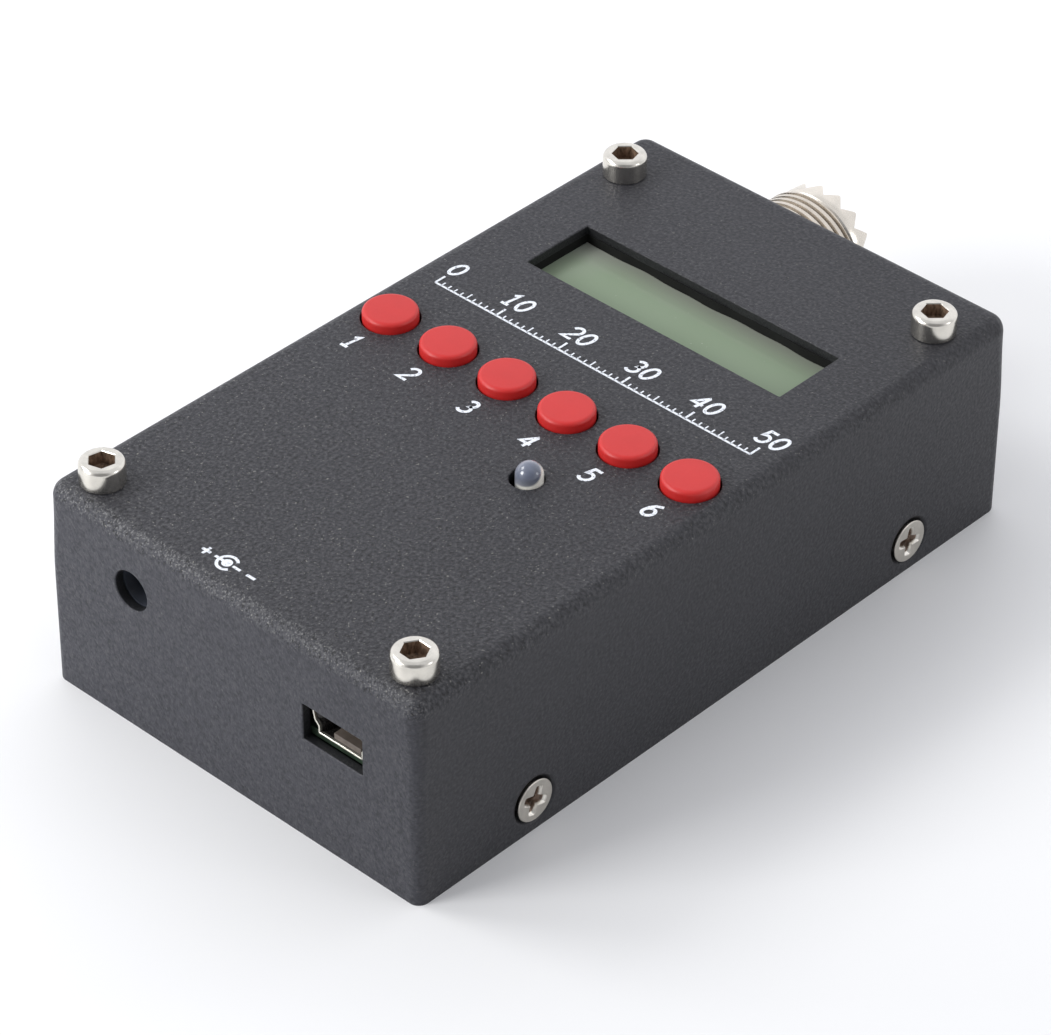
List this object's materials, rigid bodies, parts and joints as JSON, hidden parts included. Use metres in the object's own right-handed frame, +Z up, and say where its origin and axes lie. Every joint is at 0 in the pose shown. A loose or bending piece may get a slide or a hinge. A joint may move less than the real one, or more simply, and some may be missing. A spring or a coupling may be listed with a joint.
{
  "type": "antenna analyzer",
  "caption": "Handheld measuring box in a folded metal case with a display window, a row of round push keys, an indicator lamp and a threaded coaxial antenna socket.",
  "frame": {"origin": "centre of the case's flat underside", "axes": "+X along the lines of the display, from left to right for the reader; +Y along the case from the supply end to the antenna socket; +Z up, out of the key face"},
  "size_m": [0.0596, 0.1148, 0.0313],
  "materials": {
    "coat": "charcoal powder coat with a fine pebbled texture",
    "cap_screw_nickel": "bright nickel",
    "side_screw_nickel": "dull nickel",
    "zinc": "zinc plated",
    "board": "green solder resist over glass laminate",
    "key_red": "satin red",
    "plunger_black": "matt black",
    "switch_black": "matt black",
    "spring_steel": "plain steel sheet",
    "lcd_glass": "grey-green liquid crystal cell under glass",
    "foam": "black closed-cell foam",
    "black_steel": "black oxide",
    "light_guide": "milky acrylic",
    "header_black": "moulded black",
    "gold": "gold flash",
    "nylon": "natural nylon",
    "lamp_clear": "clear epoxy with a faint milky tint",
    "tinned": "tinned",
    "core_black": "moulded black",
    "pin_nickel": "nickel plated",
    "socket_nickel": "bright nickel over brass",
    "ptfe": "off-white fluoropolymer",
    "lead_red": "red insulation",
    "lever_black": "matt black",
    "pack_film": "blue shrink film",
    "pack_lead": "red insulation",
    "plug_white": "natural nylon",
    "chip_black": "moulded epoxy",
    "can_steel": "plain metal can",
    "ferrite": "ferrite ring with its winding left out"
  },
  "bodies": {
    "case": {"cover": "coat", "base_tray": "coat", "top_screws": "cap_screw_nickel", "side_screws": "side_screw_nickel", "posts": "zinc", "board_screws": "zinc", "main_board": "board", "switch_cases": "switch_black", "switch_plates": "spring_steel", "switch_domes": "spring_steel", "display_glass": "lcd_glass", "display_foam": "foam", "display_frame": "black_steel", "display_backlight": "light_guide", "display_board": "board", "display_header": "header_black", "display_pins": "gold", "display_spacers": "nylon", "display_screws": "zinc", "lamp_lens": "lamp_clear", "lamp_legs": "tinned", "usb_shell": "tinned", "usb_tongue": "core_black", "usb_contacts": "gold", "supply_socket": "core_black", "supply_pin": "pin_nickel", "socket_flange": "socket_nickel", "socket_barrel": "socket_nickel", "socket_insulator": "ptfe", "socket_contact": "gold", "socket_screws": "zinc", "socket_lead": "lead_red", "power_body": "switch_black", "power_frame": "spring_steel", "power_screws": "zinc", "power_terminals": "tinned", "power_leads": "lead_red", "battery_pack": "pack_film", "battery_pad": "foam", "battery_leads": "pack_lead", "battery_plug": "plug_white", "battery_header": "plug_white", "processor": "chip_black", "signal_chip": "chip_black", "crystal": "can_steel", "capacitors": "can_steel", "bridge_core": "ferrite"},
    "key_1": {"key_cap_1": "key_red", "plunger_1": "plunger_black"},
    "key_2": {"key_cap_2": "key_red", "plunger_2": "plunger_black"},
    "key_3": {"key_cap_3": "key_red", "plunger_3": "plunger_black"},
    "key_4": {"key_cap_4": "key_red", "plunger_4": "plunger_black"},
    "key_5": {"key_cap_5": "key_red", "plunger_5": "plunger_black"},
    "key_6": {"key_cap_6": "key_red", "plunger_6": "plunger_black"},
    "power_lever": {"power_lever": "lever_black"}
  },
  "joints": [
    {"name": "key_1_press", "type": "slide", "parent": "case", "child": "key_1", "axis": [0, 0, -1], "range_m": [0, 0.00025], "stiffness_N_per_m": 6400, "springref_m": -0.00005},
    {"name": "key_2_press", "type": "slide", "parent": "case", "child": "key_2", "axis": [0, 0, -1], "range_m": [0, 0.00025], "stiffness_N_per_m": 6400, "springref_m": -0.00005},
    {"name": "key_3_press", "type": "slide", "parent": "case", "child": "key_3", "axis": [0, 0, -1], "range_m": [0, 0.00025], "stiffness_N_per_m": 6400, "springref_m": -0.00005},
    {"name": "key_4_press", "type": "slide", "parent": "case", "child": "key_4", "axis": [0, 0, -1], "range_m": [0, 0.00025], "stiffness_N_per_m": 6400, "springref_m": -0.00005},
    {"name": "key_5_press", "type": "slide", "parent": "case", "child": "key_5", "axis": [0, 0, -1], "range_m": [0, 0.00025], "stiffness_N_per_m": 6400, "springref_m": -0.00005},
    {"name": "key_6_press", "type": "slide", "parent": "case", "child": "key_6", "axis": [0, 0, -1], "range_m": [0, 0.00025], "stiffness_N_per_m": 6400, "springref_m": -0.00005},
    {"name": "power_slide", "type": "slide", "parent": "case", "child": "power_lever", "axis": [1, 0, 0], "range_m": [0, 0.004]}
  ]
}
